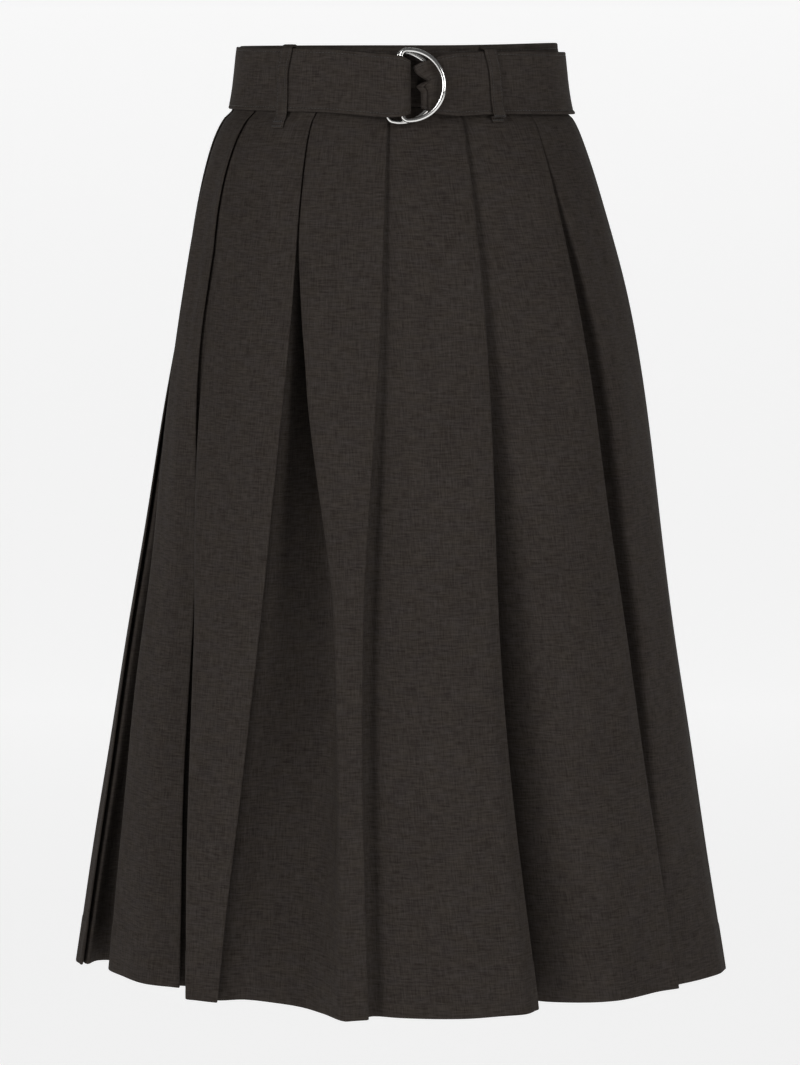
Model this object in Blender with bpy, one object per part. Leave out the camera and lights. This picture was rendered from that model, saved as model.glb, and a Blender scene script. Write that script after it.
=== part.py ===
"""Pleated midi skirt with its own double-ring belt, worn form, hollow.

Metres, +Z up, origin at the centre of the waist. The front faces -Y and +X is the viewer's right.
Sizes in the tables are millimetres; MM turns them into metres where the meshes are made.

Places on the garment are given by three values:
  turn    degrees round the body from the front centre, positive towards +X
  out     millimetres outward from the smooth outline of that height
  height  millimetres above the waist, so every height here is zero or negative
"""
import math
from collections import namedtuple

import bmesh
import bpy
from mathutils import Vector

MM = 0.001

# ---------------------------------------------------------------- driving sizes, millimetres

WAISTBAND_DEPTH = 46.0
SEAM_GAP = 0.3
SKIRT_TOP = -(WAISTBAND_DEPTH + SEAM_GAP)
HIP = -200.0
KNEE = -440.0
HEM = -740.0

CLOTH = 1.2                 # one layer of suiting with its turned hem
WAISTBAND_CLOTH = 2.4       # two layers and an interlining
BELT_CLOTH = 2.5
LOOP_CLOTH = 1.6

FOLD_TIP = 1.6              # length of cloth in the bend of a pressed fold
UNDERLAP = (26.0, 22.0, 14.5, 14.0)    # cloth tucked under a fold: top, hip, knee, hem
TIP_GAP = 1.8               # from layer to layer in the pressed edge of a fold
LOW_LAYER = (5.2, 7.0, 9.0, 9.0)       # how deep the next pleat's cloth lies below a fold edge
LOW_LAYER_LEFT = (5.2, 5.3, 5.4, 5.4)  # the same behind the left side seam's fold
# Low down the next pleat is hollow there: its three valley points, turn and out from the fold's
# edge, and how much of this form it has at the top, hip, knee and hem.
LEFT_HOLLOW = ((-5.0, -10.0), (-6.0, -20.0), (-1.0, -36.0))
LEFT_HOLLOW_SHARE = (0.0, 0.05, 0.5, 1.0)
BACK_SHARE = (0.32, 0.68)   # how far down to that layer the tucked cloth turns back
SEAM_VALLEY = -5.4          # at the waistband every pleat lies pressed flat
SEAM_RIDGE_OUT = -0.8
SEAM_RIDGE_RUN = 18.0

# Pleats that stay shut on the fold before them down to one height and part from it below that.
Opening = namedtuple("Opening", "fold start end")
OPENINGS = (Opening(2, -170.0, -470.0), Opening(3, -135.0, -250.0), Opening(6, -60.0, -260.0))
SHUT_STEP = 3.0             # from the fold's edge to a shut pleat's ridge
POCKET_FOLD = 1             # this fold's edge is the mouth of a pocket
POCKET_TOP = -50.0
POCKET_END = -160.0
POCKET_LIFT = 3.0

BELT_WIDTH = 48.8
WIRE = 3.8                  # ring wire, diameter
RING_HEIGHT = 54.0          # ring sizes are taken along the wire's centre
RING_WIDTH = 32.5
RING_CORNER = 4.6

# The smooth outline that the pleats' faces follow, worn: waist, hip and an even flare.
Outline = namedtuple("Outline", "height left right front back")
OUTLINE = (
    Outline(0.0, 126.0, 124.0, 90.0, 88.0),
    Outline(-50.0, 133.0, 130.8, 94.5, 94.0),
    Outline(-58.0, 140.4, 138.0, 96.8, 99.5),
    Outline(-78.0, 149.8, 146.8, 104.5, 108.5),
    Outline(-120.0, 160.6, 160.4, 116.5, 121.5),
    Outline(-200.0, 174.4, 181.4, 131.0, 140.0),
    Outline(-280.0, 188.6, 196.4, 144.0, 152.0),
    Outline(-400.0, 208.3, 211.6, 162.0, 167.0),
    Outline(-560.0, 236.2, 233.9, 186.0, 188.0),
    Outline(-740.0, 264.2, 262.9, 212.0, 209.0),
)

# One row for each knife pleat, in order round the body. A pleat comes out from under the fold
# before it, crosses a valley, rises to a ridge, runs along its face past a crest and ends at
# its own fold edge. Under is how far a pleat stands over its valley: at 1 the valley is deepest
# below the pleat's own ridge, at 0 beside the fold before it. Entries have their value at the
# hip, the knee and the hem; the turn of the fold edge has its value at the waistband before those.
Fold = namedtuple("Fold", "under valley_out ridge_turn ridge_out crest_out edge_turn edge_out")
FOLDS = (
    Fold((0, 0, 0), (-10, -22, -30), (-114, -112, -107), (-1, -3, -6), (0, 0, 0),
         (-91.5, -90.5, -90.5, -90.5), (-1, -3, -6)),
    Fold((1, 1, 1), (-16, -36, -58), (-80.5, -84, -85.5), (0, -12, -29), (0, -20, -41),
         (-59.2, -61.6, -61.6, -55.6), (0, -30, -52)),
    Fold((0.7, 1, 1), (-9, -46, -74), (-58.3, -51.6, -44.4), (-4, -12, -25), (0, -9, -26),
         (-29.6, -28.8, -31.5, -37.2), (0, -8, -27)),
    Fold((1, 1, 0.55), (-40, -48, -54), (-24.4, -13.2, -8.9), (0, 3, 7), (0.5, 1.5, 2),
         (-3.9, -4.8, -7.5, -5.3), (0.3, 0.6, 0)),
    Fold((0, 0, 0), (-8, -15, -14), (11, 12, 12), (-1, -1, -1), (1, 0, -6),
         (20.5, 21, 20.9, 26.2), (0, -3, -20.5)),
    Fold((0, 0, 0), (-12, -40, -64), (35, 39, 44), (-1, -3, -18.5), (1, -1, -19),
         (49.2, 49.9, 55.2, 62.2), (0, -4, -14)),
    Fold((0.9, 1, 0), (-19, -26, -24), (57, 61.5, 66), (-1, -4, -22), (0, 0, -3),
         (84.5, 84.5, 85.5, 86), (0, 0, 0)),
    Fold((0, 0, 0), (-9, -20, -30), (94, 100, 106), (-1, -4, -10), (1, 1, -2),
         (118.5, 118.5, 119.5, 121), (0, -4, -12)),
    Fold((0.4, 0.8, 0.5), (-10, -24, -36), (126, 132, 136), (0, 0, 2), (1, 2, 4),
         (148.5, 150, 150, 151), (0, -3, -6)),
    Fold((0, 0, 0), (-9, -16, -20), (160, 163, 166), (-1, -2, -4), (1, 2, 2),
         (176, 179, 179, 177), (0, -3, -14)),
    Fold((0.5, 1, 1), (-11, -28, -42), (186, 190, 192), (0, 1, 3), (1, 2, 3),
         (204, 208, 207, 207), (0, -2, -4)),
    Fold((0, 0, 0), (-9, -18, -24), (216, 221, 225), (-1, -4, -12), (1, 0, -8),
         (234, 236, 236, 238), (0, -4, -16)),
)
LEFT_SEAM_FOLD = 0          # the side seams run hidden in the tucks behind these folds
RIGHT_SEAM_FOLD = 6
SKIRT_LEVELS = (SKIRT_TOP, -51.0, -59.0, -76.0, -104.0, -142.0, -190.0, -245.0, -310.0, -400.0,
                -500.0, -620.0, HEM)

# The belt as one strip, by its arc along the waist from the front centre and how far out its
# middle lies. It starts as the under-layer of the fold that holds the rings, turns round their
# straight bars, runs round the left side and the back and comes to the front under both rings.
# There it turns up round the rear ring's bow, goes back under the front ring's bow and on to
# its free end. The trims are what its squeezed edges lose inside the rings.
Station = namedtuple("Station", "arc out trim_top trim_bottom")
BELT_HOLD = (
    Station(-46.0, 2.3, 0.0, 0.0), Station(-24.0, 2.3, 0.0, 0.0), Station(-6.0, 2.3, 0.0, 0.0),
    Station(1.2, 2.4, 1.2, 0.8), Station(5.2, 3.9, 3.8, 2.2), Station(6.9, 7.4, 4.8, 2.8),
    Station(5.8, 11.8, 4.0, 2.4), Station(1.6, 13.8, 1.6, 1.0), Station(-4.5, 12.9, 0.6, 0.4),
    Station(-9.5, 11.2, 0.0, 0.0), Station(-15.0, 9.0, 0.0, 0.0), Station(-23.0, 6.4, 0.0, 0.0),
    Station(-34.0, 5.4, 0.0, 0.0), Station(-47.0, 5.3, 0.0, 0.0), Station(-57.0, 3.6, 0.0, 0.0),
    Station(-68.0, 2.4, 0.0, 0.0),
)
BELT_PASS = (
    Station(52.0, 2.3, 0.0, 0.0), Station(36.0, 2.3, 0.8, 0.6), Station(23.0, 2.3, 4.0, 3.0),
    Station(15.0, 2.4, 7.4, 5.6), Station(12.2, 3.4, 8.6, 6.6), Station(11.0, 6.2, 8.8, 6.8),
    Station(12.0, 9.2, 8.6, 6.4), Station(16.5, 10.4, 6.2, 4.6), Station(24.0, 10.9, 3.9, 3.7),
    Station(30.0, 11.1, 2.0, 2.0), Station(36.0, 10.9, 0.8, 0.8), Station(43.0, 9.4, 0.0, 0.0),
    Station(52.0, 6.8, 0.0, 0.0), Station(61.0, 5.4, 0.0, 0.0),
)
BELT_STEP = 10.0
BELT_OUT = 2.3
TAIL_OUT = 5.3
TAIL_END_ARC = 228.0
# Height of the middle of the belt's width along the waist: the rings' weight pulls it down.
BELT_DROP = ((-330.0, -29.0), (-240.0, -28.6), (-178.0, -25.0), (-60.0, -26.0), (0.0, -29.7),
             (76.0, -27.7), (172.0, -29.0), (228.0, -29.4), (380.0, -29.0))

# Belt loops: turn at the waist, how far the strap leans as it comes down, and the bend at its top.
Loop = namedtuple("Loop", "name turn lean bend end over")
LOOPS = (
    Loop("belt_loop_front_left", -44.9, -2.6, 2.4, -63.0, BELT_OUT),
    Loop("belt_loop_front_right", 34.0, 0.4, -1.9, -58.2, TAIL_OUT),
    Loop("belt_loop_back_right", 132.0, 0.0, 0.0, -62.5, BELT_OUT),
    Loop("belt_loop_back_centre", 166.0, 0.0, 0.0, -62.5, BELT_OUT),
    Loop("belt_loop_back_left", 222.0, 0.0, 0.0, -62.5, BELT_OUT),
)
LOOP_WIDTH = 9.8
LOOP_BEND_REACH = 14.0
BAND_SHOWN = -3.0           # the waistband shows above the belt where the belt's top lies below this

# The two rings: where the straight bar stands, how far out its bar and its bow lie, and its lean.
Ring = namedtuple("Ring", "name bar_x middle_height bar_out bow_out lean")
RINGS = (
    Ring("d_ring_front", 1.5, -29.5, 9.8, 13.8, -2.0),
    Ring("d_ring_rear", -5.2, -29.8, 5.9, 4.8, 9.6),
)

# ---------------------------------------------------------------- smooth curves and the outline


def smooth_value(stations, values, at):
    """Read a smooth curve through the values, without overshoot between them."""
    if at <= stations[0]:
        return values[0]
    if at >= stations[-1]:
        return values[-1]
    slopes = [(values[i + 1] - values[i]) / (stations[i + 1] - stations[i]) for i in range(len(values) - 1)]
    tangents = [slopes[0]]
    for before, after in zip(slopes, slopes[1:]):
        tangents.append(0.0 if before * after <= 0 else 2 * before * after / (before + after))
    tangents.append(slopes[-1])
    i = max(k for k in range(len(stations) - 1) if stations[k] <= at)
    span = stations[i + 1] - stations[i]
    t = (at - stations[i]) / span
    return ((1 + 2 * t) * (1 - t) ** 2 * values[i] + t * (1 - t) ** 2 * span * tangents[i]
            + t * t * (3 - 2 * t) * values[i + 1] - t * t * (1 - t) * span * tangents[i + 1])


OUTLINE_DEPTHS = [-row.height for row in OUTLINE]


def outline_size(column, height):
    return smooth_value(OUTLINE_DEPTHS, [getattr(row, column) for row in OUTLINE], -height)


def plan_point(turn, out, height):
    """Plan position of a place on the garment, in millimetres."""
    angle = math.radians(turn)
    across, along = math.sin(angle), -math.cos(angle)
    half_width = outline_size("right" if across > 0 else "left", height)
    half_depth = outline_size("back" if along > 0 else "front", height)
    return Vector((across * (half_width + out), along * (half_depth + out)))


def waist_arcs():
    """Distance along the waist seam at each whole degree of turn, from the front centre."""
    arcs = [0.0]
    for degree in range(360):
        step = plan_point(degree + 1, 0.0, SKIRT_TOP) - plan_point(degree, 0.0, SKIRT_TOP)
        arcs.append(arcs[-1] + step.length)
    return arcs


WAIST_ARCS = waist_arcs()
WAIST_GIRTH = WAIST_ARCS[-1]


def turn_at_arc(arc):
    """Turn in degrees of a distance along the waist, which may be negative."""
    rounds, rest = divmod(arc, WAIST_GIRTH)
    degree = max(k for k in range(360) if WAIST_ARCS[k] <= rest)
    part = (rest - WAIST_ARCS[degree]) / (WAIST_ARCS[degree + 1] - WAIST_ARCS[degree])
    return 360.0 * rounds + degree + part


def degrees_for(length, turn, height):
    """Degrees of turn that a length along the outline takes there."""
    step = plan_point(turn + 1, 0.0, height) - plan_point(turn - 1, 0.0, height)
    return 2.0 * length / step.length


def ease(low, high, at):
    """A smooth step from 0 at low to 1 at high."""
    t = min(1.0, max(0.0, (at - low) / (high - low)))
    return t * t * (3.0 - 2.0 * t)


# ---------------------------------------------------------------- the pleats

FOLD_LEVELS = [-SKIRT_TOP, -HIP, -KNEE, -HEM]


def at_level(values, height):
    return smooth_value(FOLD_LEVELS, values, -height)


def pocket_lift(row, height):
    """How far the pocket mouth stands open, along the one fold that has it."""
    if row != POCKET_FOLD or not POCKET_END < height < POCKET_TOP:
        return 0.0
    share = (height - POCKET_TOP) / (POCKET_END - POCKET_TOP)
    return POCKET_LIFT * math.sin(math.pi * share)


def fold_edge(index, height):
    """Turn and out of a pleat's fold edge. Rows past either end go on round the body."""
    rounds, row = divmod(index, len(FOLDS))
    fold = FOLDS[row]
    turn = at_level(fold.edge_turn, height)
    out = at_level([0.0, *fold.edge_out], height) + pocket_lift(row, height)
    return turn + 360.0 * rounds, out


def opened(row, height):
    """How far the deep pleat has parted from the fold before it: it starts below the hip."""
    for opening in OPENINGS:
        if row == opening.fold:
            return ease(opening.start, opening.end, height)
    return 1.0


def pleat_ridge(index, height):
    """Turn and out of the place where a pleat has come up to its face."""
    rounds, row = divmod(index, len(FOLDS))
    fold = FOLDS[row]
    seam_start = fold_edge(row - 1, SKIRT_TOP)[0]
    seam_ridge = seam_start + degrees_for(SEAM_RIDGE_RUN, seam_start, SKIRT_TOP)
    turn = at_level([seam_ridge, *fold.ridge_turn], height)
    out = at_level([SEAM_RIDGE_OUT, *fold.ridge_out], height)
    before_turn = fold_edge(row - 1, height)[0]
    shut = before_turn + degrees_for(SHUT_STEP, before_turn, height)
    return shut + (turn - shut) * opened(row, height) + 360.0 * rounds, out


def pleat_face(index, height):
    """Plan path of a pleat's visible face, from its ridge past its crest to its fold edge."""
    edge_turn, edge_out = fold_edge(index, height)
    ridge_turn, ridge_out = pleat_ridge(index, height)
    crest_out = at_level([0.0, *FOLDS[index % len(FOLDS)].crest_out], height)
    run = edge_turn - ridge_turn
    return [plan_point(ridge_turn, ridge_out, height),
            plan_point(ridge_turn + 0.36 * run, 0.5 * (ridge_out + crest_out), height),
            plan_point(ridge_turn + 0.72 * run, crest_out, height),
            plan_point(edge_turn, edge_out, height)]


def back_along(path, length):
    """The place a length back from a path's end, and the path's direction there."""
    for start, end in zip(path[-2::-1], path[:0:-1]):
        step = end - start
        if length <= step.length:
            return end - step.normalized() * length, step.normalized()
        length -= step.length
    return path[0], (path[1] - path[0]).normalized()


def low_layer(index, height):
    """How deep the next pleat's cloth lies below a fold edge."""
    return at_level(LOW_LAYER_LEFT if index % len(FOLDS) == LEFT_SEAM_FOLD else LOW_LAYER, height)


def pleat_tuck(index, height):
    """The cloth hidden behind a fold edge: its bend, the bend back, and where it goes on."""
    face = pleat_face(index, height)
    low = low_layer(index, height)
    edge, along = back_along(face, FOLD_TIP)
    inward = Vector((-along.y, along.x))
    outer_bend = [edge, edge + along * FOLD_TIP + inward * 0.5 * TIP_GAP, edge + inward * TIP_GAP]
    under = edge + inward * low
    fold_line = back_along(face, at_level(UNDERLAP, height))[0]
    along = (edge - fold_line).normalized()
    inward = Vector((-along.y, along.x))
    inner_bend = [fold_line + along * FOLD_TIP + inward * BACK_SHARE[0] * low,
                  fold_line + inward * 0.5 * low,
                  fold_line + along * FOLD_TIP + inward * BACK_SHARE[1] * low]
    return outer_bend, inner_bend, under


def pleat_valley(index, height):
    """Between the fold before and the ridge: down across the valley and up again. The valley is
    deepest beside the fold before it, or, where the pleat stands over it, below its own ridge."""
    before_turn, before_out = fold_edge(index - 1, height)
    ridge_turn, ridge_out = pleat_ridge(index, height)
    fold = FOLDS[index % len(FOLDS)]
    lowest = before_out - low_layer(index - 1, height)
    valley = min(at_level([SEAM_VALLEY, *fold.valley_out], height), lowest)
    valley = lowest + (valley - lowest) * opened(index % len(FOLDS), height) ** 0.5
    under = at_level([0.0, *fold.under], height)
    rise = ridge_out - valley
    shares = (0.04 + 0.12 * under, 0.30 + 0.45 * under, 0.68 + 0.27 * under)
    outs = (valley + under * 0.55 * (lowest - valley), valley + (1.0 - under) * 0.45 * rise,
            valley + (0.85 - 0.45 * under) * rise)
    turns = [before_turn + share * (ridge_turn - before_turn) for share in shares]
    hollow = 0.0
    if (index - 1) % len(FOLDS) == LEFT_SEAM_FOLD:
        hollow = at_level(LEFT_HOLLOW_SHARE, height)
    return [plan_point(turn + hollow * (before_turn + back - turn),
                       out + hollow * (before_out + deep - out), height)
            for turn, out, (back, deep) in zip(turns, outs, LEFT_HOLLOW)]


def panel_section(first_fold, last_fold, height):
    """Plan path of one panel, from the side seam behind one fold to that behind another."""
    path = []
    for index in range(first_fold, last_fold + 1):
        outer_bend, inner_bend, under = pleat_tuck(index, height)
        if index > first_fold:
            path += pleat_valley(index, height) + pleat_face(index, height)[:-1] + outer_bend
        hidden = inner_bend[0] - outer_bend[-1]
        seam = outer_bend[-1] + hidden * 0.5
        if index == first_fold:
            path.append(seam + hidden.normalized() * 0.5 * SEAM_GAP)
        if index == last_fold:
            path.append(seam - hidden.normalized() * 0.5 * SEAM_GAP)
        else:
            path += [*inner_bend, under]
    return path


# ---------------------------------------------------------------- meshes

MITRE_LIMIT = 1.7


def offset_path(path, distance, closed=False):
    """Shift a plan path to its right-hand side, with mitred corners."""
    shifted = []
    for i, point in enumerate(path):
        directions = []
        if closed or i > 0:
            directions.append((point - path[i - 1]).normalized())
        if closed or i < len(path) - 1:
            directions.append((path[(i + 1) % len(path)] - point).normalized())
        along = sum(directions, Vector((0.0, 0.0))).normalized()
        stretch = min(MITRE_LIMIT, 1.0 / max(0.1, along.dot(directions[0])))
        shifted.append(point + Vector((along.y, -along.x)) * distance * stretch)
    return shifted


def skin(name, outer, inner, material, closed=False):
    """Close two matching grids of points, in millimetres, into one solid wall."""
    mesh_bm = bmesh.new()
    grids = [[[mesh_bm.verts.new(Vector(p) * MM) for p in row] for row in grid] for grid in (outer, inner)]
    rows, columns = len(outer), len(outer[0])
    steps = columns if closed else columns - 1
    for grid in grids:
        for r in range(rows - 1):
            for c in range(steps):
                d = (c + 1) % columns
                mesh_bm.faces.new((grid[r][c], grid[r][d], grid[r + 1][d], grid[r + 1][c]))
    for r in (0, rows - 1):
        for c in range(steps):
            d = (c + 1) % columns
            mesh_bm.faces.new((grids[0][r][c], grids[0][r][d], grids[1][r][d], grids[1][r][c]))
    if not closed:
        for c in (0, columns - 1):
            for r in range(rows - 1):
                mesh_bm.faces.new((grids[0][r][c], grids[0][r + 1][c], grids[1][r + 1][c], grids[1][r][c]))
    bmesh.ops.recalc_face_normals(mesh_bm, faces=mesh_bm.faces)
    return add_object(name, mesh_bm, material)


def add_object(name, mesh_bm, material):
    mesh = bpy.data.meshes.new(name)
    mesh_bm.to_mesh(mesh)
    mesh_bm.free()
    mesh.materials.append(material)
    mesh.shade_smooth()
    mesh.set_sharp_from_angle(angle=math.radians(40))
    obj = bpy.data.objects.new(name, mesh)
    bpy.context.collection.objects.link(obj)
    return obj


def plan_wall(name, heights, paths, thickness, material, closed=False):
    """A standing wall through one plan path for each height. A height may vary along its path."""
    outer, inner = [], []
    for height, path in zip(heights, paths):
        levels = height if isinstance(height, list) else [height] * len(path)
        for grid, side in ((outer, 0.5), (inner, -0.5)):
            shifted = offset_path(path, side * thickness, closed)
            grid.append([(p.x, p.y, z) for p, z in zip(shifted, levels)])
    return skin(name, outer, inner, material, closed)


def make_material(name, colour, roughness, metallic=0.0):
    material = bpy.data.materials.new(name)
    material.use_nodes = True
    shader = material.node_tree.nodes["Principled BSDF"]
    shader.inputs["Base Color"].default_value = (*colour, 1.0)
    shader.inputs["Roughness"].default_value = roughness
    shader.inputs["Metallic"].default_value = metallic
    material.diffuse_color = (*colour, 1.0)
    return material


# ---------------------------------------------------------------- the pieces


def make_skirt_panels(material):
    for name, first, last in (("skirt_front", LEFT_SEAM_FOLD, RIGHT_SEAM_FOLD),
                              ("skirt_back", RIGHT_SEAM_FOLD, LEFT_SEAM_FOLD + len(FOLDS))):
        paths = [panel_section(first, last, height) for height in SKIRT_LEVELS]
        plan_wall(name, SKIRT_LEVELS, paths, CLOTH, material)


def make_waistband(material):
    heights = (0.0, -0.5 * WAISTBAND_DEPTH, -WAISTBAND_DEPTH)
    middle_out = 0.5 * (CLOTH - WAISTBAND_CLOTH)
    paths = [[plan_point(turn, middle_out, height) for turn in range(0, 360, 6)] for height in heights]
    plan_wall("waistband", heights, paths, WAISTBAND_CLOTH, material, closed=True)


def belt_stations():
    """The belt's whole route: the hold round the rings, round the body, the pass and the tail."""
    start, end = BELT_HOLD[-1].arc, BELT_PASS[0].arc - WAIST_GIRTH
    count = round((start - end) / BELT_STEP)
    body = [Station(start + (end - start) * i / count, BELT_OUT, 0.0, 0.0) for i in range(1, count)]
    passing = [s._replace(arc=s.arc - WAIST_GIRTH) for s in BELT_PASS]
    start, end = BELT_PASS[-1].arc, TAIL_END_ARC
    count = round((end - start) / BELT_STEP)
    tail = [Station(start + (end - start) * i / count - WAIST_GIRTH, TAIL_OUT, 0.0, 0.0)
            for i in range(1, count + 1)]
    return [*BELT_HOLD, *body, *passing, *tail]


def belt_middle(arc):
    """Height of the middle of the belt's width at a distance along the waist."""
    wrapped = (arc + 0.5 * WAIST_GIRTH - 25.0) % WAIST_GIRTH - 0.5 * WAIST_GIRTH + 25.0
    return smooth_value([a for a, _ in BELT_DROP], [h for _, h in BELT_DROP], wrapped)


def belt_height(station, share):
    """Height on the belt, from its top edge at share 0 to its lower edge at share 1."""
    top = belt_middle(station.arc) + 0.5 * BELT_WIDTH - station.trim_top
    return top - share * (BELT_WIDTH - station.trim_top - station.trim_bottom)


def make_belt(material):
    stations = belt_stations()
    heights, paths = [], []
    for share in (0.0, 0.35, 0.7, 1.0):
        levels = [belt_height(station, share) for station in stations]
        heights.append(levels)
        paths.append([plan_point(turn_at_arc(s.arc), s.out, z) for s, z in zip(stations, levels)])
    plan_wall("belt", heights, paths, BELT_CLOTH, material)


def loop_profile(loop):
    """Height and out down a belt loop, over the belt to the pleats. It starts on the waistband
    where that shows above the belt, and on top of the rim where it doesn't."""
    belt_top = belt_middle(WAIST_ARCS[round(loop.turn) % 360]) + 0.5 * BELT_WIDTH
    belt_bottom = belt_top - BELT_WIDTH
    over = loop.over + 0.5 * (BELT_CLOTH + LOOP_CLOTH) + 0.5
    on_rim = 0.5 * LOOP_CLOTH + SEAM_GAP
    on_pleats = 0.5 * (CLOTH + LOOP_CLOTH) + SEAM_GAP
    start = [(on_rim, -1.2), (on_rim, 1.2), (belt_top + 0.9, over - 0.6)]
    if belt_top < BAND_SHOWN:
        start = [(-0.6, on_pleats), (-1.6, on_pleats + 0.4), (belt_top + 1.2, over - 0.4)]
    return [*start, (belt_top - 2.5, over),
            (belt_top - 20.0, over), (belt_bottom + 12.0, over), (belt_bottom - 0.8, over),
            (0.5 * (belt_bottom + loop.end) + 1.0, on_pleats + 0.9), (loop.end + 2.6, on_pleats),
            (loop.end, on_pleats)]


def loop_turn(loop, height):
    """Turn of a loop's middle: it leans evenly and bends aside towards its top."""
    bend = math.exp(-((height / LOOP_BEND_REACH) ** 2))
    return loop.turn + loop.lean * height / WAISTBAND_DEPTH + loop.bend * bend


def make_belt_loops(material):
    for loop in LOOPS:
        profile = [Vector((out, height)) for height, out in loop_profile(loop)]
        grids = []
        for side in (-0.5, 0.5):
            rows = []
            for point in offset_path(profile, side * LOOP_CLOTH):
                turn = loop_turn(loop, point.y)
                half = 0.5 * degrees_for(LOOP_WIDTH, turn, point.y)
                ends = [plan_point(turn + k * half, point.x, point.y) for k in (-1.0, 0.0, 1.0)]
                rows.append([(p.x, p.y, point.y) for p in ends])
            grids.append(rows)
        skin(loop.name, *grids, material)


def ring_route():
    """Half-round ring along its wire's centre: a straight bar with a bow, x from the bar."""
    radius = 0.5 * RING_HEIGHT
    centre_x = RING_WIDTH - radius
    corner = RING_CORNER
    route = [(0.0, 0.0)]
    for angle in (180, 150, 120, 90):
        a = math.radians(angle)
        route.append((corner + corner * math.cos(a), radius - corner + corner * math.sin(a)))
    for angle in range(90, -91, -12):
        a = math.radians(angle)
        route.append((centre_x + radius * math.cos(a), radius * math.sin(a)))
    for angle in (270, 240, 210, 180):
        a = math.radians(angle)
        route.append((corner + corner * math.cos(a), corner - radius + corner * math.sin(a)))
    return route


def ring_place(ring, x, z):
    """Turn a place in a ring's own plane into a place on the garment, in millimetres."""
    lean = math.radians(ring.lean)
    across = ring.bar_x + x * math.cos(lean) + z * math.sin(lean)
    height = ring.middle_height + z * math.cos(lean) - x * math.sin(lean)
    rim, foot = OUTLINE[0], OUTLINE[1]
    front = rim.front + (foot.front - rim.front) * height / foot.height
    out = ring.bar_out + (ring.bow_out - ring.bar_out) * x / RING_WIDTH
    return Vector((across, -front - out, height))


def make_rings(material):
    for ring in RINGS:
        curve = bpy.data.curves.new(ring.name, "CURVE")
        curve.dimensions = "3D"
        curve.bevel_depth = 0.5 * WIRE * MM
        curve.bevel_resolution = 2
        places = [ring_place(ring, x, z) for x, z in ring_route()]
        spline = curve.splines.new("POLY")
        spline.points.add(len(places) - 1)
        spline.use_cyclic_u = True
        for spot, place in zip(spline.points, places):
            spot.co = (*(place * MM), 1.0)
        curve.materials.append(material)
        bpy.context.collection.objects.link(bpy.data.objects.new(ring.name, curve))


def main():
    for obj in list(bpy.data.objects):
        bpy.data.objects.remove(obj, do_unlink=True)
    cloth = make_material("cloth", (0.036, 0.031, 0.028), 0.85)
    metal = make_material("metal", (0.80, 0.79, 0.77), 0.18, 1.0)
    make_skirt_panels(cloth)
    make_waistband(cloth)
    make_belt(cloth)
    make_belt_loops(cloth)
    make_rings(metal)


main()
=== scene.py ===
"""Visual model of the pleated midi skirt with its double-ring belt.

Metres, +Z up, origin at the centre of the waist; the front faces -Y. Tables are in millimetres.
Places on the garment are given by three values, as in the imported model:
  turn    degrees round the body from the front centre, positive towards +X
  out     millimetres outward from the smooth outline of that height
  height  millimetres above the waist, so every height here is zero or negative
"""
import math
from collections import namedtuple
from functools import lru_cache

import bpy
import numpy as np
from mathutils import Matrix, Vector


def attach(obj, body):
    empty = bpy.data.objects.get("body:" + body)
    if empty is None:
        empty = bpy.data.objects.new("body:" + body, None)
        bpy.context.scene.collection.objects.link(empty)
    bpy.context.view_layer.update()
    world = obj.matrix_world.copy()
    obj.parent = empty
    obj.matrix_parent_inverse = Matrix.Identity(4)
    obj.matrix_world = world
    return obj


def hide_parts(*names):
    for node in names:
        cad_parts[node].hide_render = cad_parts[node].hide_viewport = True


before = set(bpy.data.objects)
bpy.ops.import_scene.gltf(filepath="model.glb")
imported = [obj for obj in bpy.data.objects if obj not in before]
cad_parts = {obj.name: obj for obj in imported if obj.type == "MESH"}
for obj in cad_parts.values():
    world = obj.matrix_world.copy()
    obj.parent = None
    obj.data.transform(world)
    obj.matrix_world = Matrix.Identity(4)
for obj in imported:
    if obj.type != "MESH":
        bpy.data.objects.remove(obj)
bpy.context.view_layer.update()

MM = 0.001

# -------- the garment's sizes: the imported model's, with its folds drawn finer

WAISTBAND_DEPTH = 46.0
SEAM_GAP = 0.3
SKIRT_TOP = -(WAISTBAND_DEPTH + SEAM_GAP)
HIP = -200.0
KNEE = -440.0
HEM = -740.0

CLOTH = 1.2
WAISTBAND_CLOTH = 2.4
BELT_CLOTH = 2.5
LOOP_CLOTH = 1.6

FOLD_TIP = 0.9  # length of a fold's pressed tip
UNDERLAP = (26, 22, 14.5, 14)  # how far a tuck reaches back, at the fold levels
NEAR_EDGE = 5.0  # the pressed fold's face is flat over this width
TIP_GAP = 0.9  # between the middles of the two layers at the tip
BACK_SHARE = (0.32, 0.68)  # the tuck's inner bend, as shares of the layer's depth
LOW_LAYER = (3, 3.6, 6.5, 8.5)  # how deep the next pleat's cloth lies, at the fold levels
LOW_LAYER_LEFT = (3, 3.6, 5, 5.4)
LEFT_HOLLOW = ((-5, -10), (-6, -20), (-1, -36))
LEFT_HOLLOW_SHARE = (0, 0.05, 0.5, 1)
SEAM_VALLEY = -3.2
SEAM_RIDGE_OUT = -0.8
SEAM_RIDGE_RUN = 18.0

Opening = namedtuple("Opening", "fold start end")
OPENINGS = (Opening(2, -170, -470), Opening(3, -135, -250), Opening(6, -60, -260))
SHUT_STEP = 2.1  # from a fold edge to the ridge of a pleat shut beside it
POCKET_FOLD = 1
POCKET_TOP = -50.0
POCKET_END = -160.0
POCKET_LIFT = 3.0

BELT_WIDTH = 48.8
WIRE = 3.8
RING_HEIGHT = 54.0
RING_WIDTH = 32.5
RING_CORNER = 4.6

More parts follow.
